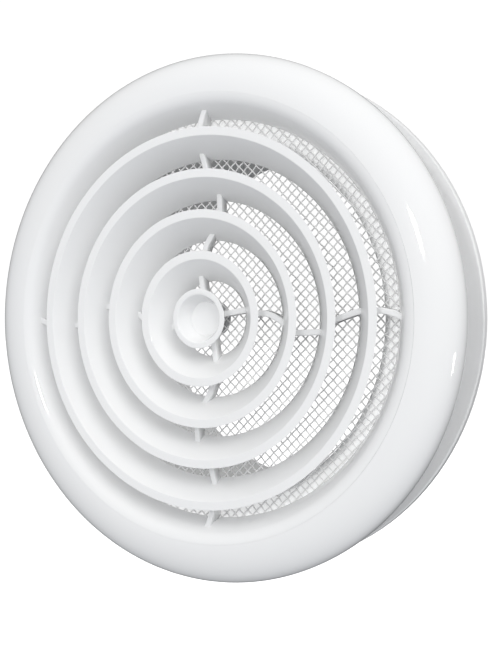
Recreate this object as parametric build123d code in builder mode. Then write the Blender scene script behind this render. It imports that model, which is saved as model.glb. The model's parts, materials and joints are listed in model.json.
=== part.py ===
"""A round louvred ventilation grille for a 100 mm duct, in millimetres.

The origin is the middle of the face that meets the wall. +Z is up, the room is towards -Y and the
duct runs off along +Y. The louvred front stands proud of its wall flange on a sleeve, which slides
in the duct spigot. Round pieces are drawn as half-sections on the XY plane, with the radius along X,
and turned about Y. Ribs are drawn on the front view.
"""

import os

from build123d import *

# Overall sizes
rim_radius = 67.5
flange_radius = 66.5
front_projection = 26.2  # from the wall to the front edges of the louvres
spigot_radius = 49.6  # slips into a 100 mm duct
spigot_length = 40.0  # behind the wall face

# Louvre rings: radius of each one's outer edge at the front, outermost first
ring_radii = [48.3, 37.8, 27.6, 17.2]
ring_edge = 2.2  # width of the flat front edge
ring_taper = 5.4  # how far the inner face closes in from front to back
ring_back_edge = 1.6
louvre_bow = 0.4  # sagitta of the flared faces

# Hub and the rivet through it
hub_radius = 7.6
hub_edge = 1.5
hub_side_depth = 3.9  # where the cup's tapered side ends
hub_side_radius = 5.6
hub_base_depth = 5.1  # the underside of the cup
hub_base_radius = 4.4
hub_boss_radius = 3.0
hub_floor_depth = 4.1
hub_floor_radius = 4.5
cap_radius = 4.3
cap_edge = 0.15
cap_height = 0.5
shank_radius = 1.7
shank_clearance = 0.1
shank_tail = 1.0
nut_radius = 4.6
nut_thickness = 0.9

# Curved ribs, outermost gap first. A centre line is a chord with a parabolic bow: its inner radius and
# its offset from the nearest spoke line there, the same at its outer radius, then the bow
rib_lines = [
    (46.4, 2.0, 52.7, 0.5, 0.35),
    (35.0, -0.45, 42.3, 1.9, 0.15),
    (25.0, -3.5, 31.9, -3.2, 0.0),
    (13.5, 1.1, 21.6, -1.3, 1.1),
    (4.6, 1.2, 10.9, 2.2, 0.0),
]
rib_setbacks = [3.5, 4.8, 4.8, 4.8, 4.8]  # from the front plane to the ribs' front edges
ribs_per_gap = 4
rib_width = 1.5
rib_back_depth = 7.4
rib_inner_overreach = 5.0  # carried past each end before it is cut to the faces beside it
rib_outer_overreach = 1.5
rib_stations = 9

# Core frame: the flared cone round the louvres, its sloping lip and its skirt
cone_mouth_radius = 55.0
cone_back_radius = 50.9
cone_mouth_depth = 1.0  # behind the front plane
lip_crest_depth = 0.7
lip_width = 2.0
lip_undercut = 1.0
skirt_radius = 56.4
skirt_wall = 1.6
snap_height = 0.6
snap_length = 0.9

# Outer rim
rim_crest_depth = 0.9  # behind the front plane, where the rim starts beside the lip
rim_bulge_depth = 5.8
rim_band = 1.2
rim_wall = 1.6
rim_collar_length = 6.5
rim_fit = 0.05

# Insect screen
wire_pitch = 1.76
wire_width = 0.42
wire_thickness = 0.3
screen_seat_depth = 7.6
screen_ring_thickness = 0.8
screen_ring_width = 3.4
screen_edge_clearance = 0.2

# Sleeve
sleeve_wall = 1.4
sleeve_rib_clearance = 0.05
sleeve_rib_height = 0.2
sleeve_rib_width = 2.0
sleeve_rib_count = 6
plate_thickness = 1.35
plate_edge_rounding = 0.6
sleeve_engagement = 14.0  # how far the sleeve reaches into the spigot

# Wall flange, spigot and seals
flange_thickness = 2.3
flange_edge_rounding = 0.4
spigot_wall = 1.4
spigot_lead_in = 0.5
seal_thickness = 1.4
seal_width = 2.4
gasket_depth = 1.0
gasket_width = 4.0
gasket_margin = 2.5
screw_circle_radius = 55.5
screw_hole_radius = 2.2
screw_sink_radius = 3.6
screw_count = 4

# Places worked out from the sizes above
front = -front_projection
spigot_bore = spigot_radius - spigot_wall
flange_front = -flange_thickness
sleeve_back = flange_front + sleeve_engagement
sleeve_radius = spigot_bore - sleeve_rib_clearance - sleeve_rib_height
sleeve_bore = sleeve_radius - sleeve_wall
pocket_radius = skirt_radius - skirt_wall
pocket_fit_radius = pocket_radius - screen_edge_clearance
screen_front = front + screen_seat_depth
screen_back = screen_front + 2 * wire_thickness
plate_front = screen_back + screen_ring_thickness
plate_back = plate_front + plate_thickness
hub_floor = front + hub_floor_depth
seal_seat = flange_front + seal_thickness
flange_bore = spigot_bore + seal_width
front_view = Plane.XZ.offset(front_projection)


def ring_inner_face(radius):
    """The flared inner face of a louvre ring whose front outer radius is given."""
    mouth = radius - ring_edge
    return SagittaArc((mouth, front), (mouth - ring_taper, screen_front), louvre_bow)


def ring_outer_face(radius):
    """The flared outer face of the same ring."""
    back = radius - ring_edge - ring_taper + ring_back_edge
    return SagittaArc((radius, front), (back, screen_front), louvre_bow)


def hub_side():
    """The outside of the hub: the cup's tapered side and underside, then the boss below it."""
    return Polyline(
        (hub_radius, front),
        (hub_side_radius, front + hub_side_depth),
        (hub_base_radius, front + hub_base_depth),
        (hub_boss_radius, front + hub_base_depth),
        (hub_boss_radius, screen_front),
    )


def rib_point(gap, share):
    """A point on a rib's centre line: share is 0 at the inner radius and 1 at the outer radius."""
    start_radius, start_offset, end_radius, end_offset, bow = rib_lines[gap]
    radius = start_radius + share * (end_radius - start_radius)
    offset = start_offset + share * (end_offset - start_offset)
    return (radius, offset + 4 * share * (1 - share) * bow)


def cone_face():
    """The inner face of the core frame, from its lip to the screen seat."""
    return SagittaArc(
        (cone_mouth_radius, front + cone_mouth_depth), (cone_back_radius, screen_front), louvre_bow
    )


def save(piece, name):
    """Label a piece and write its STEP file."""
    piece.label = name
    export_step(piece, f"parts/{name}.step")


os.makedirs("parts", exist_ok=True)

# Louvre rings: four flared rings with coplanar front edges
for number, radius in enumerate(ring_radii, start=1):
    with BuildPart() as louvre_ring:
        with BuildSketch(Plane.XY):
            with BuildLine():
                inner = ring_inner_face(radius)
                outer = ring_outer_face(radius)
                Line(inner @ 0, outer @ 0)
                Line(inner @ 1, outer @ 1)
            make_face()
        revolve(axis=Axis.Y)
    save(louvre_ring.part, f"louvre_ring_{number}")

# Hub: a small cup on a boss, bored for the rivet
with BuildPart() as hub:
    with BuildSketch(Plane.XY):
        with BuildLine():
            side = hub_side()
            Polyline(
                side @ 0,
                (hub_radius - hub_edge, front),
                (hub_floor_radius, hub_floor),
                (shank_radius + shank_clearance, hub_floor),
                (shank_radius + shank_clearance, screen_front),
                side @ 1,
            )
        make_face()
    revolve(axis=Axis.Y)
save(hub.part, "hub")

# Ribs: each gap's four curved ribs, cut to the flared faces on both sides of the gap
gap_count = len(ring_radii) + 1
for gap in range(gap_count):
    start_radius, _, end_radius, _, bow = rib_lines[gap]
    length = end_radius - start_radius
    first_share = -rib_inner_overreach / length
    last_share = 1 + rib_outer_overreach / length
    with BuildSketch() as band:
        with BuildLine():
            if bow:
                step = (last_share - first_share) / (rib_stations - 1)
                Spline(*[rib_point(gap, first_share + step * k) for k in range(rib_stations)])
            else:
                Line(rib_point(gap, first_share), rib_point(gap, last_share))
        trace(line_width=rib_width)
    with BuildPart() as ribs:
        with BuildSketch(front_view.offset(-rib_setbacks[gap])):
            with PolarLocations(0, ribs_per_gap):
                add(band.sketch)
        extrude(amount=rib_setbacks[gap] - rib_back_depth)
        with BuildSketch(Plane.XY):
            with BuildLine():
                if gap == 0:
                    outside = cone_face()
                else:
                    outside = ring_inner_face(ring_radii[gap - 1])
                if gap == gap_count - 1:
                    inside = hub_side()
                else:
                    inside = ring_outer_face(ring_radii[gap])
                Line(inside @ 0, outside @ 0)
                Line(inside @ 1, outside @ 1)
            make_face()
        revolve(axis=Axis.Y, mode=Mode.INTERSECT)
    save(ribs.part, f"ribs_{gap + 1}")

# Core frame: the flared cone, its lip, the seat for the screen and the skirt that holds the sleeve
with BuildPart() as core_frame:
    with BuildSketch(Plane.XY):
        with BuildLine():
            cone = cone_face()
            Polyline(
                cone @ 0,
                (cone_mouth_radius + lip_width, front + lip_crest_depth),
                (skirt_radius, front + lip_crest_depth + lip_undercut),
                (skirt_radius, plate_back + snap_length),
                (pocket_radius, plate_back + snap_length),
                (pocket_radius - snap_height, plate_back + snap_length / 2),
                (pocket_radius - snap_height, plate_back),
                (pocket_radius, plate_back),
                (pocket_radius, screen_front),
                cone @ 1,
            )
        make_face()
    revolve(axis=Axis.Y)
save(core_frame.part, "core_frame")

# Outer rim: a bulged ring, open at the back, whose collar fits round the core frame's skirt
collar_bore = skirt_radius + rim_fit
collar_radius = collar_bore + rim_wall
crest = front + rim_crest_depth
bulge_radius = cone_mouth_radius + lip_width + rim_fit
band_front = crest + rim_bulge_depth
with BuildPart() as outer_rim:
    with BuildSketch(Plane.XY):
        with BuildLine():
            outside = EllipticalCenterArc(
                (bulge_radius, band_front), rim_radius - bulge_radius, rim_bulge_depth, -90, arc_size=90
            )
            inside = EllipticalCenterArc(
                (collar_radius, band_front),
                rim_radius - rim_wall - collar_radius,
                rim_bulge_depth - rim_wall,
                -90,
                arc_size=90,
            )
            Polyline(
                outside @ 1,
                (rim_radius, band_front + rim_band),
                (rim_radius - rim_wall, band_front + rim_band),
                inside @ 1,
            )
            Polyline(
                inside @ 0,
                (collar_radius, crest + rim_collar_length),
                (collar_bore, crest + rim_collar_length),
                (collar_bore, crest + lip_undercut),
                outside @ 0,
            )
        make_face()
    revolve(axis=Axis.Y)
save(outer_rim.part, "outer_rim")

# Hub rivet: a domed head in the cup and a shank through the floor and the screen
with BuildPart() as hub_cap:
    with BuildSketch(Plane.XY):
        with BuildLine():
            dome_height = cap_height - cap_edge
            dome = SagittaArc(
                (-cap_radius, hub_floor - cap_edge),
                (cap_radius, hub_floor - cap_edge),
                -dome_height,
                mode=Mode.PRIVATE,
            )
            dome_half = dome.trim(0.5, 1)
            add(dome_half)
            Polyline(
                dome_half @ 1,
                (cap_radius, hub_floor),
                (shank_radius, hub_floor),
                (shank_radius, screen_back + nut_thickness + shank_tail),
                (0, screen_back + nut_thickness + shank_tail),
                dome_half @ 0,
            )
        make_face()
    revolve(axis=Axis.Y)
save(hub_cap.part, "hub_cap")

# Push-on nut: holds the middle of the screen against the hub
with BuildPart() as push_nut:
    with BuildSketch(Plane.XZ.offset(-screen_back)):
        Circle(nut_radius)
        Circle(shank_radius, mode=Mode.SUBTRACT)
    extrude(amount=-nut_thickness)
save(push_nut.part, "push_nut")

# Insect screen: two layers of parallel wires, laid on the slant and welded where they cross
wire_count = 2 * int(pocket_fit_radius / wire_pitch)
screen_layers = []
for layer, slant in enumerate((45, -45)):
    with BuildPart() as wires:
        with BuildSketch(Plane.XZ.offset(-screen_front - layer * wire_thickness)):
            with Locations(Rotation(0, 0, slant)):
                with GridLocations(0, wire_pitch, 1, wire_count):
                    Rectangle(2 * pocket_fit_radius, wire_width)
            Circle(pocket_fit_radius, mode=Mode.INTERSECT)
            Circle(shank_radius + shank_clearance, mode=Mode.SUBTRACT)
        extrude(amount=-wire_thickness)
    screen_layers.append(wires.part)
save(Compound(children=screen_layers), "insect_screen")

# Screen ring: a flat hem that the screen is welded to
with BuildPart() as screen_ring:
    with BuildSketch(Plane.XZ.offset(-screen_back)):
        Circle(pocket_fit_radius)
        Circle(pocket_fit_radius - screen_ring_width, mode=Mode.SUBTRACT)
    extrude(amount=-screen_ring_thickness)
save(screen_ring.part, "screen_ring")

# Sleeve: a plate snapped into the skirt behind the screen, and a tube that slides in the spigot
with BuildPart() as sleeve:
    with BuildSketch(Plane.XY):
        with BuildLine():
            Polyline(
                (sleeve_bore, plate_front),
                (pocket_fit_radius, plate_front),
                (pocket_fit_radius, plate_back),
                (sleeve_radius, plate_back),
                (sleeve_radius, sleeve_back),
                (sleeve_bore, sleeve_back),
                (sleeve_bore, plate_front),
            )
        make_face()
    revolve(axis=Axis.Y)
    mouth_edge = sleeve.edges().filter_by(GeomType.CIRCLE).group_by(Axis.Y)[0].sort_by(SortBy.RADIUS)[0]
    fillet(mouth_edge, plate_edge_rounding)
    with BuildSketch(Plane.XZ.offset(-plate_back)):
        with PolarLocations(sleeve_radius, sleeve_rib_count):
            Rectangle(2 * sleeve_rib_height, sleeve_rib_width)
        Circle(sleeve_radius + sleeve_rib_height, mode=Mode.INTERSECT)
        Circle(sleeve_radius - sleeve_rib_height, mode=Mode.SUBTRACT)
    extrude(amount=plate_back - sleeve_back)
save(sleeve.part, "sleeve")

# Wall flange: a disc with countersunk holes and a gasket groove
gasket_outer_radius = flange_radius - gasket_margin
with BuildPart() as wall_flange:
    with BuildSketch(Plane.XZ):
        Circle(flange_radius)
        Circle(flange_bore, mode=Mode.SUBTRACT)
    extrude(amount=flange_thickness)
    edge = wall_flange.edges().filter_by(GeomType.CIRCLE).group_by(Axis.Y)[0].sort_by(SortBy.RADIUS)[-1]
    fillet(edge, flange_edge_rounding)
    with BuildSketch(Plane.XZ):
        Circle(gasket_outer_radius)
        Circle(gasket_outer_radius - gasket_width, mode=Mode.SUBTRACT)
    extrude(amount=gasket_depth, mode=Mode.SUBTRACT)
    with Locations(Plane.XZ.offset(flange_thickness)):
        with PolarLocations(screw_circle_radius, screw_count, start_angle=45):
            CounterSinkHole(screw_hole_radius, screw_sink_radius, depth=flange_thickness)
save(wall_flange.part, "wall_flange")

# Duct spigot: the tube behind the flange, with a collar that fills the flange's bore behind the seal
with BuildPart() as duct_spigot:
    with BuildSketch(Plane.XY):
        with BuildLine():
            Polyline(
                (spigot_bore, seal_seat),
                (flange_bore, seal_seat),
                (flange_bore, 0),
                (spigot_radius, 0),
                (spigot_radius, spigot_length - spigot_lead_in),
                (spigot_radius - spigot_lead_in, spigot_length),
                (spigot_bore, spigot_length),
                close=True,
            )
        make_face()
    revolve(axis=Axis.Y)
save(duct_spigot.part, "duct_spigot")

# Mouth seal: a rubber ring in the flange's bore, which wipes the sleeve's ribs
with BuildPart() as mouth_seal:
    with BuildSketch(Plane.XZ.offset(flange_thickness)):
        Circle(flange_bore)
        Circle(spigot_bore, mode=Mode.SUBTRACT)
    extrude(amount=-seal_thickness)
save(mouth_seal.part, "mouth_seal")

# Wall gasket: a foam ring in the groove at the back of the flange
with BuildPart() as wall_gasket:
    with BuildSketch(Plane.XZ):
        Circle(gasket_outer_radius)
        Circle(gasket_outer_radius - gasket_width, mode=Mode.SUBTRACT)
    extrude(amount=gasket_depth)
save(wall_gasket.part, "wall_gasket")
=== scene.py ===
"""Looks of a round louvred ventilation grille, in metres, in the CAD model's own frame.

Half-sections are drawn in millimetres as (radius, depth) points. Depth is measured along +Y from
the wall face, so the room side is negative, and `front` is the plane of the louvres' front edges.
"""

import json
import math

import bmesh
import bpy
import numpy as np
from mathutils import Matrix, Vector


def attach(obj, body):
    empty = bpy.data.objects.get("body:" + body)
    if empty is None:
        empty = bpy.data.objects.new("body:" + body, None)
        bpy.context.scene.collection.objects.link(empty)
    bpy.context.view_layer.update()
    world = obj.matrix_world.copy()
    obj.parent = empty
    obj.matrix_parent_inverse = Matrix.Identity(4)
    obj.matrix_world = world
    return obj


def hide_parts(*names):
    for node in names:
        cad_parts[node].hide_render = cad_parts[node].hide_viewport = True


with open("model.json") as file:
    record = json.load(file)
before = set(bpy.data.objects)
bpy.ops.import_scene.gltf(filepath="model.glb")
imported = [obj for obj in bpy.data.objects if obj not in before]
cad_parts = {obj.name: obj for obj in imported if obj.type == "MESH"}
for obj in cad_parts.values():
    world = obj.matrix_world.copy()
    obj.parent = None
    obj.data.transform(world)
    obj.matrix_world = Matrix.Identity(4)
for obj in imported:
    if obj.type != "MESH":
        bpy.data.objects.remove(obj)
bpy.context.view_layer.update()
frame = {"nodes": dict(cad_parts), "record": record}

mm = 0.001

# Depths along the axis, shared with the CAD model
front = -26.2
seat = front + 7.6
screen_back = seat + 0.6
plate_front = screen_back + 0.8
plate_back = plate_front + 1.35
flange_front = -2.3
seal_back = flange_front + 1.4
sleeve_back = flange_front + 14.0
spigot_length = 40.0

# Louvre rings: radii at the front, edge widths, and how far a ring closes in towards its back
ring_radii = [48.3, 37.8, 27.6, 17.2]
ring_edge = 2.2
ring_back_edge = 1.6
ring_taper = 5.4
louvre_bow = 0.4

# Core frame: the cone, its lip and the skirt with the pocket for the screen
cone_mouth = 55.0
cone_mouth_depth = 1.0
cone_back = 50.9
lip_crest_depth = 0.7
lip_width = 2.0
skirt_radius = 56.4
pocket_radius = 54.8
pocket_fit_radius = pocket_radius - 0.2

# Outer rim: a quarter-round bulge whose crest lies just behind the front plane
rim_radius = 67.5
rim_wall = 1.6
crest = front + 0.75
bulge_depth = 5.95
bulge_radius = cone_mouth + lip_width + 0.05
rim_band = 1.2
rim_collar_length = 6.5

# Hub and its rivet
hub_radius = 7.6
hub_boss = 3.0
hub_floor = front + 4.1
shank_radius = 1.7

# Sleeve, spigot and the seal between them
sleeve_radius = 47.95
sleeve_bore = 46.55
spigot_radius = 49.6
spigot_bore = 48.2
seal_radius = spigot_bore + 2.4


# ---------------------------------------------------------------- half-sections


def flare(start, end, bow=louvre_bow, steps=12):
    """A flared face: the straight chord plus a parabola of height bow, square to the chord."""
    start, end = np.array(start, float), np.array(end, float)
    chord = end - start
    left = np.array([-chord[1], chord[0]]) / np.hypot(*chord)
    t = np.linspace(0, 1, steps)[:, None]
    return start + t * chord + 4 * t * (1 - t) * bow * left


def quarter(centre, radii, start_angle, end_angle, steps=20):
    """An arc of an ellipse about a centre, from one angle in degrees to another."""
    t = np.radians(np.linspace(start_angle, end_angle, steps))
    return np.array(centre) + np.stack([radii[0] * np.cos(t), radii[1] * np.sin(t)], 1)


def softened(runs, closed=True, steps=6):
    """Joins runs of points into one section. Where two runs meet, a Bezier curve rounds the corner
    by the radius given with the first of them, and a point beyond each end keeps the flats flat."""
    points, radii = [], []
    for run, radius in runs:
        run = np.atleast_2d(np.array(run, float))
        points.extend(run)
        radii.extend([0.0] * (len(run) - 1) + [radius])
    section = []
    for i, (corner, radius) in enumerate(zip(points, radii)):
        inside = closed or 0 < i < len(points) - 1
        if radius == 0 or not inside:
            section.append(corner)
            continue
        to_last = points[i - 1] - corner
        to_next = points[(i + 1) % len(points)] - corner
        last_length, next_length = np.hypot(*to_last), np.hypot(*to_next)
        cut = min(radius, 0.4 * last_length, 0.4 * next_length)
        leave = corner + to_last / last_length * cut
        arrive = corner + to_next / next_length * cut
        t = np.linspace(0, 1, steps)[:, None]
        if 1.5 * cut < 0.5 * last_length:
            section.append(corner + to_last / last_length * 1.5 * cut)
        section.extend((1 - t) ** 2 * leave + 2 * t * (1 - t) * corner + t**2 * arrive)
        if 1.5 * cut < 0.5 * next_length:
            section.append(corner + to_next / next_length * 1.5 * cut)
    return np.array(section)


# ---------------------------------------------------------------- meshes


def grid_faces(rows, columns, wrap_rows, wrap_columns):
    """Four-sided faces over a grid of points numbered row by row."""
    i = np.arange(rows if wrap_rows else rows - 1)[:, None]
    j = np.arange(columns if wrap_columns else columns - 1)[None, :]
    i_next, j_next = (i + 1) % rows, (j + 1) % columns
    here, beyond = i * columns, i_next * columns
    corners = np.broadcast_arrays(here + j, here + j_next, beyond + j_next, beyond + j)
    return np.stack(corners, -1).reshape(-1, 4)


def add_piece(name, vertices, faces, caps=()):
    """A smooth-shaded mesh object from arrays of points in millimetres."""
    mesh = bpy.data.meshes.new(name)
    points = np.asarray(vertices).reshape(-1, 3) * mm
    mesh.from_pydata(points.tolist(), [], faces.tolist() + list(caps))
    mesh.polygons.foreach_set("use_smooth", np.ones(len(mesh.polygons), bool))
    mesh.update()
    piece = bpy.data.objects.new(name, mesh)
    bpy.context.collection.objects.link(piece)
    return piece


def turned(name, section, steps=256, closed=True):
    """A surface of revolution: section point (r, y) at angle t lies at (r cos t, y, r sin t)."""
    r, y = section.T
    if np.sum(r * np.roll(y, -1) - np.roll(r, -1) * y) < 0:
        r, y = r[::-1], y[::-1]
    angle = np.linspace(0, 2 * np.pi, steps, endpoint=False)[:, None]
    points = np.stack([r * np.cos(angle), y + 0 * angle, r * np.sin(angle)], -1)
    piece = add_piece(name, points, grid_faces(steps, len(r), True, closed))
    if not closed:
        merge_close(piece)
    return piece


def merge_close(piece):
    """Closes the poles, where a whole ring of points falls on the axis."""
    work = bmesh.new()
    work.from_mesh(piece.data)
    bmesh.ops.remove_doubles(work, verts=work.verts, dist=1e-7)
    bmesh.ops.dissolve_degenerate(work, edges=work.edges, dist=1e-8)
    work.to_mesh(piece.data)
    work.free()


def bars(name, loops):
    """Closed bars from an array of loops: bar, station along it, point round it, coordinate. The
    sides join neighbouring loops point to point, and one flat face closes each end."""
    count, stations, around, _ = loops.shape
    faces = grid_faces(stations, around, False, True)
    step = stations * around
    starts = np.arange(count) * step
    sides = (faces[None] + starts[:, None, None]).reshape(-1, 4)
    caps = []
    for start in starts:
        caps.append(np.arange(start, start + around)[::-1].tolist())
        caps.append(np.arange(start + step - around, start + step).tolist())
    return add_piece(name, loops, sides, caps)


def turned_about_axis(points, angle):
    """Points turned about the grille's own axis, counter-clockwise as the room sees it."""
    c, s = math.cos(angle), math.sin(angle)
    x, y, z = np.moveaxis(np.asarray(points), -1, 0)
    return np.stack([c * x - s * z, y, s * x + c * z], -1)


# ---------------------------------------------------------------- shader helpers


class Value:
    """A number that varies over a surface. Arithmetic on it adds Math nodes."""

    def __init__(self, tree, socket):
        self.tree = tree
        self.socket = socket

    def math(self, operation, *others, reverse=False):
        node = self.tree.nodes.new("ShaderNodeMath")
        node.operation = operation
        terms = [self, *others]
        if reverse:
            terms.reverse()
        for slot, term in zip(node.inputs, terms):
            if isinstance(term, Value):
                self.tree.links.new(term.socket, slot)
            else:
                slot.default_value = term
        return Value(self.tree, node.outputs[0])

    def __add__(self, other):
        return self.math("ADD", other)

    __radd__ = __add__

    def __mul__(self, other):
        return self.math("MULTIPLY", other)

    __rmul__ = __mul__

    def __sub__(self, other):
        return self.math("SUBTRACT", other)

    def __rsub__(self, other):
        return self.math("SUBTRACT", other, reverse=True)

    def clamped(self):
        return self.math("MAXIMUM", 0.0).math("MINIMUM", 1.0)


class Finish:
    """A material under construction, with its Principled shader."""

    def __init__(self, name, **constants):
        self.material = bpy.data.materials.new(name)
        self.material.use_nodes = True
        self.tree = self.material.node_tree
        self.shader = self.tree.nodes["Principled BSDF"]
        for socket, value in constants.items():
            self.shader.inputs[socket.replace("_", " ")].default_value = value
        self.place = self.node("ShaderNodeTexCoord").outputs["Object"]

    def node(self, kind, settings=None, **inputs):
        node = self.tree.nodes.new(kind)
        for key, value in (settings or {}).items():
            setattr(node, key, value)
        for key, value in inputs.items():
            self.feed(node.inputs[key.replace("_", " ")], value)
        return node

    def feed(self, socket, value):
        if isinstance(value, Value):
            value = value.socket
        if isinstance(value, bpy.types.NodeSocket):
            self.tree.links.new(value, socket)
        else:
            socket.default_value = value

    def noise(self, scale, detail=2.0, roughness=0.5):
        """Noise from 0 to 1 with features about 1 / scale metres across."""
        node = self.node(
            "ShaderNodeTexNoise", Vector=self.place, Scale=scale, Detail=detail, Roughness=roughness
        )
        return Value(self.tree, node.outputs[0])

    def blend(self, factor, first, second):
        """A colour between two colours."""
        node = self.node("ShaderNodeMix", {"data_type": "RGBA"})
        self.feed(node.inputs[0], factor)
        self.feed(node.inputs[6], first)
        self.feed(node.inputs[7], second)
        return node.outputs[2]

    def raise_by(self, height, distance, strength=1.0):
        """Bump from a height map, in metres."""
        node = self.node("ShaderNodeBump", Height=height, Distance=distance, Strength=strength)
        self.feed(self.shader.inputs["Normal"], node.outputs[0])

    def paint(self, **sockets):
        for socket, value in sockets.items():
            self.feed(self.shader.inputs[socket.replace("_", " ")], value)
        return self.material


# ---------------------------------------------------------------- finishes


def glossy_abs():
    """White ABS from a polished mould: faint flow marks, fine orange peel, a few dull patches."""
    finish = Finish("white_abs_gloss", IOR=1.53)
    flow = finish.noise(22, 3)
    peel = finish.noise(420, 2)
    grain = finish.noise(2600, 2)
    colour = finish.blend(flow, (0.925, 0.93, 0.935, 1), (0.945, 0.945, 0.94, 1))
    finish.raise_by(peel * 0.75 + grain * 0.25, 0.000008, 0.3)
    return finish.paint(Base_Color=colour, Roughness=0.03 + 0.05 * finish.noise(60, 4))


def satin_abs():
    """White ABS of the parts behind: a finer spark-eroded texture, duller than the front. Front
    faces behind the screen, outside the bore's mouth, carry a painted glow that brightens them as
    light would, though they are no lamp."""
    glow_back, glow_bore = (plate_front + 0.5) * mm, (sleeve_bore + 1.0) * mm
    # Emission strength of the painted glow on the front faces behind the screen
    finish = Finish("white_abs_satin", IOR=1.53, Emission_Strength=0.29)
    axes = finish.node("ShaderNodeSeparateXYZ", Vector=finish.place)
    depth = Value(finish.tree, axes.outputs["Y"])
    across, up = (Value(finish.tree, axes.outputs[axis]) for axis in ("X", "Z"))
    radius = (across * across + up * up).math("SQRT")
    # Painted glow: only front faces ahead of the plate's front, outside the bore's mouth, emit
    # light
    painted_glow_area = ((glow_back - depth) * 3000).clamped() * ((radius - glow_bore) * 1500).clamped()
    spark = finish.noise(1800, 3, 0.6)
    flow = finish.noise(16, 3)
    colour = finish.blend(flow, (0.87, 0.875, 0.88, 1), (0.91, 0.91, 0.905, 1))
    finish.raise_by(spark, 0.00004, 0.5)
    # Colour of the painted glow: white on those front faces, black elsewhere
    painted_glow_colour = finish.blend(painted_glow_area, (0, 0, 0, 1), (1, 1, 1, 1))
    return finish.paint(Base_Color=colour, Roughness=0.34 + 0.12 * spark, Emission_Color=painted_glow_colour)


def coated_wire():
    """White plastic-coated screen wire, with a slight unevenness along each wire."""
    finish = Finish("coated_wire", IOR=1.48)
    streak = finish.noise(900, 2)
    colour = finish.blend(streak, (0.86, 0.86, 0.86, 1), (0.91, 0.91, 0.90, 1))
    finish.raise_by(streak, 0.00003, 0.4)
    return finish.paint(Base_Color=colour, Roughness=0.42 + 0.15 * streak)


def spring_steel():
    """Plain rolled spring steel with concentric tooling marks."""
    finish = Finish("spring_steel", Metallic=1.0)
    rings = finish.node(
        "ShaderNodeTexWave",
        {"wave_type": "RINGS", "rings_direction": "Y"},
        Vector=finish.place,
        Scale=700.0,
        Distortion=1.5,
    )
    marks = Value(finish.tree, rings.outputs[1])
    colour = finish.blend(marks, (0.50, 0.50, 0.51, 1), (0.62, 0.62, 0.63, 1))
    finish.raise_by(marks, 0.00002, 0.3)
    return finish.paint(Base_Color=colour, Roughness=0.28 + 0.12 * marks)


def seal_rubber():
    """Grey rubber with a dusty bloom."""
    finish = Finish("seal_rubber", IOR=1.5)
    bloom = finish.noise(240, 4, 0.6)
    colour = finish.blend(bloom, (0.16, 0.16, 0.165, 1), (0.24, 0.24, 0.24, 1))
    finish.raise_by(bloom, 0.00004, 0.5)
    return finish.paint(Base_Color=colour, Roughness=0.6 + 0.2 * bloom)


def cell_foam():
    """Closed-cell foam: small domed cells, painted darker towards their edges as shade in the
    hollows between them.
    """
    finish = Finish("cell_foam", IOR=1.45)
    cells = finish.node(
        "ShaderNodeTexVoronoi", {"feature": "F1"}, Vector=finish.place, Scale=1700.0
    )
    dome = Value(finish.tree, cells.outputs["Distance"])
    # Painted shade: colour darkens towards each cell's edge, where the bump sinks into a hollow
    colour = finish.blend(dome.clamped(), (0.34, 0.34, 0.35, 1), (0.20, 0.20, 0.21, 1))
    finish.raise_by(1 - dome, 0.00015, 0.6)
    return finish.paint(Base_Color=colour, Roughness=0.8 + 0.1 * dome)


FINISHES = {
    "white_abs": glossy_abs(),
    "cap_plastic": glossy_abs(),
    "body_abs": satin_abs(),
    "screen_mesh": coated_wire(),
    "screen_hem": satin_abs(),
    "spring_steel": spring_steel(),
    "seal_rubber": seal_rubber(),
    "gasket_foam": cell_foam(),
}
SLOTS = {entry["node"]: entry["material_slot"] for entry in frame["record"]["subparts"]}


def stand_in_for(piece, body, node):
    """Puts a modelled piece in place of its CAD node and gives it that node's finish."""
    slot = SLOTS[node]
    piece.data.materials.clear()
    piece.data.materials.append(FINISHES[slot])
    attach(piece, body)
    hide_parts(node)
    return piece


# ---------------------------------------------------------------- the louvred front


# The bow is square to a slanting face, so only this share of it is a change of radius
inner_bow = 0.81 * louvre_bow
outer_bow = 0.79 * louvre_bow


def ring_inner_radius(radius, depth):
    """Radius of a louvre ring's flared inner face at a depth behind the front plane: the front
    radius, less a straight taper, less a parabola of height inner_bow."""
    t = depth / (seat - front)
    return radius - ring_edge - ring_taper * t - 4 * t * (1 - t) * inner_bow


def ring_outer_radius(radius, depth):
    """Radius of its outer face at the same depth, worked out in the same way."""
    t = depth / (seat - front)
    outer_taper = ring_edge + ring_taper - ring_back_edge
    return radius - outer_taper * t - 4 * t * (1 - t) * outer_bow


def louvre_ring(number, radius):
    """A flared ring with a flat front edge, barely softened at its two corners."""
    mouth = radius - ring_edge
    inner = flare((mouth, front), (mouth - ring_taper, seat))
    outer = flare((radius, front), (mouth - ring_taper + ring_back_edge, seat))
    section = softened(
        [
            ([inner[-1]], 0.2),
            (inner[-2:0:-1], 0.0),
            ([inner[0]], 0.14),
            ([outer[0]], 0.14),
            (outer[1:-1], 0.0),
            ([outer[-1]], 0.2),
        ]
    )
    name = f"louvre_ring_{number}"
    return stand_in_for(turned(name, section), "grille", name)


def hub():
    """The cup in the middle: a flat rim, tapered sides inside and out, a floor and a boss below."""
    edge_width, floor_radius, bore = 1.5, 4.5, shank_radius + 0.1
    side_radius, side_depth = 5.6, front + 3.9
    base_radius, base_depth = 4.4, front + 5.1
    section = softened(
        [
            ([(hub_radius, front)], 0.25),
            ([(hub_radius - edge_width, front)], 0.3),
            ([(floor_radius, hub_floor)], 0.25),
            ([(bore, hub_floor)], 0.05),
            ([(bore, seat)], 0.1),
            ([(hub_boss, seat)], 0.15),
            ([(hub_boss, base_depth)], 0.3),
            ([(base_radius, base_depth)], 0.5),
            ([(side_radius, side_depth)], 0.9),
        ]
    )
    return stand_in_for(turned("hub", section, 128), "grille", "hub")


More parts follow.
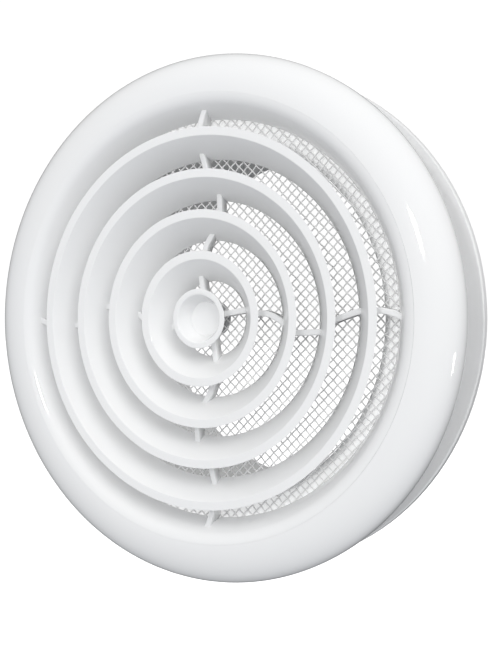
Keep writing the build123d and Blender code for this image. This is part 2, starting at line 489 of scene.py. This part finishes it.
def hub_cap():
    """The rivet: a head whose dome is a parabola over a low rolled edge, and a blunt shank."""
    head_radius, edge_height, dome_height = 4.3, 0.15, 0.35
    out = np.linspace(0, head_radius, 14)
    rise = edge_height + dome_height * (1 - (out / head_radius) ** 2)
    dome = np.stack([out, hub_floor - rise], 1)
    tail = screen_back + 1.9
    section = softened(
        [
            (dome, 0.12),
            ([(head_radius, hub_floor)], 0.03),
            ([(shank_radius, hub_floor)], 0.1),
            ([(shank_radius, tail)], 0.4),
            ([(0, tail)], 0),
        ],
        closed=False,
    )
    return stand_in_for(turned("hub_cap", section, 96, closed=False), "grille", "hub_cap")


def push_nut():
    """A thin dished washer on the shank, behind the screen."""
    washer_radius, dish_radius = 4.6, 2.6
    washer_back, dish_back = screen_back + 0.5, screen_back + 0.9
    section = softened(
        [
            ([(washer_radius, screen_back)], 0.15),
            ([(washer_radius, washer_back)], 0.2),
            ([(dish_radius, dish_back)], 0.3),
            ([(shank_radius, dish_back)], 0.1),
            ([(shank_radius, screen_back)], 0.1),
        ]
    )
    return stand_in_for(turned("push_nut", section, 96), "grille", "push_nut")


# Inner radius and offset, outer radius and offset, bow, and how far the front edges lie back
RIB_LINES = [
    (46.4, 2.0, 52.7, 0.5, 0.35, 3.5),
    (35.0, -0.45, 42.3, 1.9, 0.15, 4.8),
    (25.0, -3.5, 31.9, -3.2, 0.0, 4.8),
    (13.5, 1.1, 21.6, -1.3, 1.1, 4.8),
    (4.6, 1.2, 10.9, 2.2, 0.0, 4.8),
]


def ribs(gap):
    """Four curved ribs across a gap. The centre line is a chord plus a parabola; the cross-section
    is a bar with softened front corners; both ends follow the flared faces that they join."""
    base_radius, base_offset, tip_radius, tip_offset, bow, setback = RIB_LINES[gap]
    first, last = gap == 0, gap == len(ring_radii)
    half, nose, end = 0.75, 0.3, 7.4
    bite = 0.15
    hub_side_end, hub_side_reach = 5.2, 4.2

    bend = np.radians(np.linspace(0, 90, 6))
    right = np.stack([half - nose + nose * np.sin(bend), setback + nose - nose * np.cos(bend)], 1)
    left = right[::-1] * [-1, 1]
    outline = np.concatenate([left, [[0, setback]], right, [[half, end], [-half, end]]])
    across, deep = outline.T

    if first:
        cone = [cone_mouth_depth, seat - front], [cone_mouth, cone_back]
        reach_out = np.interp(deep, *cone) + bite
    else:
        reach_out = ring_inner_radius(ring_radii[gap - 1], deep) + bite
    if last:
        reach_in = np.where(deep < hub_side_end, hub_side_reach, hub_boss - 2 * bite)
    else:
        reach_in = ring_outer_radius(ring_radii[gap], deep) - bite
    along = np.linspace(0, 1, 22)[:, None]

    def centre_at(radius):
        share = (radius - base_radius) / (tip_radius - base_radius)
        bend_height = 4 * share * (1 - share) * bow
        slope = (tip_offset - base_offset + 4 * (1 - 2 * share) * bow) / (tip_radius - base_radius)
        offset = base_offset + share * (tip_offset - base_offset) + bend_height
        return offset, slope

    # A rib ends where its own flank, not its centre line, meets the faces beside it
    start, stop = reach_in, reach_out
    for _ in range(3):
        shifts = []
        for reach in (start, stop):
            offset, slope = centre_at(reach)
            length = np.sqrt(1 + slope**2)
            shifts.append((offset + across / length, -across * slope / length))
        start = np.sqrt(np.maximum(reach_in**2 - shifts[0][0] ** 2, 0.01)) - shifts[0][1]
        stop = np.sqrt(np.maximum(reach_out**2 - shifts[1][0] ** 2, 0.01)) - shifts[1][1]
    radius = start + along * (stop - start)
    offset, slope = centre_at(radius)
    length = np.sqrt(1 + slope**2)
    rib = np.stack(
        [radius - across * slope / length, front + deep + 0 * along, offset + across / length], -1
    )[:, ::-1]
    loops = np.stack([turned_about_axis(rib, turn) for turn in np.radians([0, 90, 180, 270])])
    name = f"ribs_{gap + 1}"
    return stand_in_for(bars(name, loops), "grille", name)


def core_frame():
    """The flared cone, which bends over into its lip on a quadratic Bezier curve, then the skirt
    and the snap bead that holds the sleeve's plate."""
    skirt_end, bead_back = plate_back + 0.9, plate_back + 0.45
    bead_radius = pocket_radius - 0.6
    lip_depth = front + lip_crest_depth
    lip_undercut = 1.0
    cone = flare((cone_mouth, front + cone_mouth_depth), (cone_back, seat))
    crest_corner = np.array([cone_mouth + lip_width, lip_depth])
    t = np.linspace(0, 1, 12)[:, None]
    bend = (1 - t) ** 2 * cone[2] + 2 * t * (1 - t) * (cone[0] + [0.1, -0.1]) + t**2 * crest_corner
    section = softened(
        [
            (cone[10:3:-1], 0.0),
            (bend, 0.06),
            ([(skirt_radius, lip_depth + lip_undercut)], 0.2),
            ([(skirt_radius, skirt_end)], 0.3),
            ([(pocket_radius, skirt_end)], 0.1),
            ([(bead_radius, bead_back)], 0.1),
            ([(bead_radius, plate_back)], 0.1),
            ([(pocket_radius, plate_back)], 0.05),
            ([(pocket_radius, seat)], 0.1),
            ([(cone_back, seat)], 0.25),
        ]
    )
    return stand_in_for(turned("core_frame", section), "grille", "core_frame")


def outer_rim():
    """The bulged trim ring: a quarter ellipse outside, a parallel one inside, a narrow band round
    the edge, and a collar that grips the core frame's skirt."""
    collar_bore = skirt_radius + 0.05
    collar = collar_bore + rim_wall
    inner_radius = rim_radius - rim_wall
    band_front = crest + bulge_depth
    band_back = band_front + rim_band
    collar_back = crest + rim_collar_length
    outer_radii = (rim_radius - bulge_radius, bulge_depth)
    inner_radii = (inner_radius - collar, bulge_depth - rim_wall)
    outside = quarter((bulge_radius, band_front), outer_radii, -90, 0, 40)
    inside = quarter((collar, band_front), inner_radii, 0, -90, 24)
    section = softened(
        [
            (outside, 0.0),
            ([(rim_radius, band_back)], 0.5),
            ([(inner_radius, band_back)], 0.4),
            (inside, 0.5),
            ([(collar, collar_back)], 0.3),
            ([(collar_bore, collar_back)], 0.3),
            ([(collar_bore, crest + 1.0)], 0.1),
            ([(bulge_radius - 0.04, crest)], 0.05),
        ]
    )
    return stand_in_for(turned("outer_rim", section, 320), "grille", "outer_rim")


def insect_screen():
    """Crossed flat wires. A wire runs straight on the slant; its height is a cosine with one period
    every two pitches. The two sets rise and fall together, so that they meet as welded wires do
    wherever they cross. Round the wire the outline is a superellipse, wider than it is thick."""
    pitch, thickness, width, reach = 1.76, 0.3, 0.40, pocket_fit_radius
    count = int(reach / pitch)
    offsets = (np.arange(-count, count) + 0.5) * pitch
    half_length = np.sqrt(reach**2 - offsets**2)
    along = np.linspace(-1, 1, 2 * (2 * count) + 1)[None, :] * half_length[:, None]
    crossing = along / pitch - 0.5
    turn = np.radians(np.arange(6) * -60)
    squareness = 0.7
    wide = 0.5 * width * np.sign(np.cos(turn)) * np.abs(np.cos(turn)) ** squareness
    thick = 0.5 * thickness * np.sign(np.sin(turn)) * np.abs(np.sin(turn)) ** squareness
    layers = []
    for direction, phase in ((1, 0.0), (-1, 1.0)):
        lift = 0.5 * thickness * np.cos(np.pi * (crossing + np.arange(2 * count)[:, None] + phase))
        side = offsets[:, None, None] + wide + 0 * lift[..., None]
        height = seat + thickness + lift[..., None] + thick
        run = along[..., None] + 0 * side
        points = np.stack([run, height, side], -1)
        layers.append(turned_about_axis(points, direction * math.pi / 4))
    piece = bars("insect_screen", np.concatenate(layers))
    return stand_in_for(piece, "grille", "insect_screen")


def screen_ring():
    """The flat hem that the screen is welded to."""
    outer = pocket_fit_radius
    inner = outer - 3.4
    section = softened(
        [
            ([(inner, screen_back)], 0.15),
            ([(outer, screen_back)], 0.15),
            ([(outer, plate_front)], 0.1),
            ([(inner, plate_front)], 0.15),
        ]
    )
    return stand_in_for(turned("screen_ring", section), "grille", "screen_ring")


def sleeve():
    """The plate behind the screen with its rounded mouth, and the tube with six drag ribs."""
    section = softened(
        [
            ([(sleeve_bore, plate_front)], 0.9),
            ([(pocket_fit_radius, plate_front)], 0.15),
            ([(pocket_fit_radius, plate_back)], 0.2),
            ([(sleeve_radius, plate_back)], 0.5),
            ([(sleeve_radius, sleeve_back)], 0.3),
            ([(sleeve_bore, sleeve_back)], 0.3),
        ]
    )
    tube = turned("sleeve", section)
    width = np.array([-1.0, -0.8, 0.8, 1.0])
    height = np.array([-0.2, 0.2, 0.2, -0.2])
    depth = np.array([plate_back - 0.05, sleeve_back - 0.6, sleeve_back - 0.2])
    lift = np.array([1.0, 1.0, 0.2])
    rail = np.stack(
        [
            sleeve_radius + height[None] * lift[:, None],
            depth[:, None] + 0 * width[None],
            width[None] + 0 * depth[:, None],
        ],
        -1,
    )[:, ::-1]
    loops = np.stack([turned_about_axis(rail, math.radians(turn)) for turn in range(0, 360, 60)])
    rails = bars("sleeve_rails", loops)
    stand_in_for(tube, "grille", "sleeve")
    rails.data.materials.append(FINISHES["body_abs"])
    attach(rails, "grille")


# ---------------------------------------------------------------- the wall body


def duct_spigot():
    """The tube that enters the duct: a collar inside the flange and a tapered, rounded end."""
    lead_in = 0.5
    section = softened(
        [
            ([(spigot_bore, seal_back)], 0.05),
            ([(seal_radius, seal_back)], 0.05),
            ([(seal_radius, 0)], 0.05),
            ([(spigot_radius, 0)], 0.15),
            ([(spigot_radius, spigot_length - lead_in)], 0.3),
            ([(spigot_radius - lead_in, spigot_length)], 0.25),
            ([(spigot_bore, spigot_length)], 0.3),
        ]
    )
    return stand_in_for(turned("duct_spigot", section), "wall_body", "duct_spigot")


def mouth_seal():
    """The rubber ring in the flange's rebate."""
    section = softened(
        [
            ([(spigot_bore, flange_front)], 0.3),
            ([(seal_radius, flange_front)], 0.15),
            ([(seal_radius, seal_back)], 0.1),
            ([(spigot_bore, seal_back)], 0.1),
        ]
    )
    return stand_in_for(turned("mouth_seal", section), "wall_body", "mouth_seal")


def kept_nodes():
    """The flange and the gasket keep their CAD shape and get their finish."""
    for name in ("wall_flange", "wall_gasket"):
        node = frame["nodes"][name]
        node.data.materials.clear()
        node.data.materials.append(FINISHES[SLOTS[name]])


for ring_number, ring_radius in enumerate(ring_radii, start=1):
    louvre_ring(ring_number, ring_radius)
for gap_number in range(5):
    ribs(gap_number)
hub()
hub_cap()
push_nut()
core_frame()
outer_rim()
insect_screen()
screen_ring()
sleeve()
duct_spigot()
mouth_seal()
kept_nodes()


# ---------------------------------------------------------------- floor, light and camera


def floor():
    """A plain pale floor, well below the grille."""
    reach, height = 6.0, -0.16
    mesh = bpy.data.meshes.new("floor")
    turns = [(-1, -1), (1, -1), (1, 1), (-1, 1)]
    mesh.from_pydata([(x * reach, y * reach, height) for x, y in turns], [], [(0, 1, 2, 3)])
    slab = bpy.data.objects.new("floor", mesh)
    bpy.context.collection.objects.link(slab)
    paint = Finish(
        "floor_paint", Roughness=0.9, Emission_Color=(1, 1, 1, 1), Emission_Strength=0.8
    )
    shade = paint.blend(paint.noise(3, 2), (0.90, 0.90, 0.90, 1), (0.93, 0.93, 0.93, 1))
    mesh.materials.append(paint.paint(Base_Color=shade))
    slab.visible_diffuse = False
    slab.visible_glossy = False


def soft_sky():
    """A white surround: pure white to look at, and as light brighter above than below, and dimmer
    behind the grille and on its left."""
    world = bpy.data.worlds.new("soft_sky")
    world.use_nodes = True
    bpy.context.scene.world = world
    tree = world.node_tree
    tree.nodes.clear()
    direction = tree.nodes.new("ShaderNodeTexCoord").outputs["Generated"]
    split = tree.nodes.new("ShaderNodeSeparateXYZ")
    tree.links.new(direction, split.inputs[0])
    height = Value(tree, split.outputs["Z"])
    behind = (Value(tree, split.outputs["Y"]) * 1.3 + 0.3).clamped()
    beside = (Value(tree, split.outputs["X"]) * -1.2).clamped()
    ramp = tree.nodes.new("ShaderNodeValToRGB")
    ramp.color_ramp.elements[0].position = 0.15
    ramp.color_ramp.elements[0].color = (0.44, 0.455, 0.48, 1)
    ramp.color_ramp.elements[1].position = 0.85
    ramp.color_ramp.elements[1].color = (0.74, 0.74, 0.74, 1)
    tree.links.new((height * 0.5 + 0.5).socket, ramp.inputs[0])
    lighting = tree.nodes.new("ShaderNodeBackground")
    tree.links.new(ramp.outputs[0], lighting.inputs[0])
    tree.links.new((1.04 - behind * 0.88 - beside * 0.14).socket, lighting.inputs[1])
    backdrop = tree.nodes.new("ShaderNodeBackground")
    backdrop.inputs[0].default_value = (1, 1, 1, 1)
    backdrop.inputs[1].default_value = 1.05
    choose = tree.nodes.new("ShaderNodeMixShader")
    tree.links.new(tree.nodes.new("ShaderNodeLightPath").outputs["Is Camera Ray"], choose.inputs[0])
    tree.links.new(lighting.outputs[0], choose.inputs[1])
    tree.links.new(backdrop.outputs[0], choose.inputs[2])
    output = tree.nodes.new("ShaderNodeOutputWorld")
    tree.links.new(choose.outputs[0], output.inputs[0])


def soft_light(name, place, width, height, power, mirrored=True):
    """A rectangular soft light that faces the grille, and may be left out of reflections."""
    lamp = bpy.data.lights.new(name, "AREA")
    lamp.shape = "RECTANGLE"
    lamp.size, lamp.size_y, lamp.energy = width, height, power
    holder = bpy.data.objects.new(name, lamp)
    bpy.context.collection.objects.link(holder)
    holder.location = place
    holder.visible_glossy = mirrored
    holder.rotation_euler = (-Vector(place)).to_track_quat("-Z", "Y").to_euler()


def camera():
    """Level with the hub, 31 degrees round to its right, aimed a little past it."""
    azimuth, distance = math.radians(31.2), 0.2825
    turn, dip = math.radians(2.52), math.radians(0.577)
    back = Vector((math.sin(azimuth), -math.cos(azimuth), 0))
    eye = bpy.data.cameras.new("camera")
    eye.lens = 61.15
    eye.clip_start = 0.01
    holder = bpy.data.objects.new("camera", eye)
    bpy.context.collection.objects.link(holder)
    holder.location = Vector((0, front * mm, 0)) + distance * back
    look = Matrix.Rotation(-turn, 3, "Z") @ -back
    look = look * math.cos(dip) - Vector((0, 0, 1)) * math.sin(dip)
    holder.rotation_euler = look.to_track_quat("-Z", "Y").to_euler()
    bpy.context.scene.camera = holder


floor()
soft_sky()
soft_light("key", (0.72, -0.66, 0.62), 0.7, 0.7, 4.0, mirrored=False)
soft_light("fill", (0.10, -1.10, -0.40), 0.9, 0.9, 0.7, mirrored=False)
soft_light("back_fill", (0.60, 0.90, 0.60), 0.7, 0.7, 6.0, mirrored=False)
soft_light("tall_window", (0.13, -1.16, 0.274), 0.09, 0.15, 2.0)
soft_light("side_window", (0.93, -0.29, -0.23), 0.12, 0.11, 1.0)
camera()
bpy.context.scene.view_settings.view_transform = "Standard"
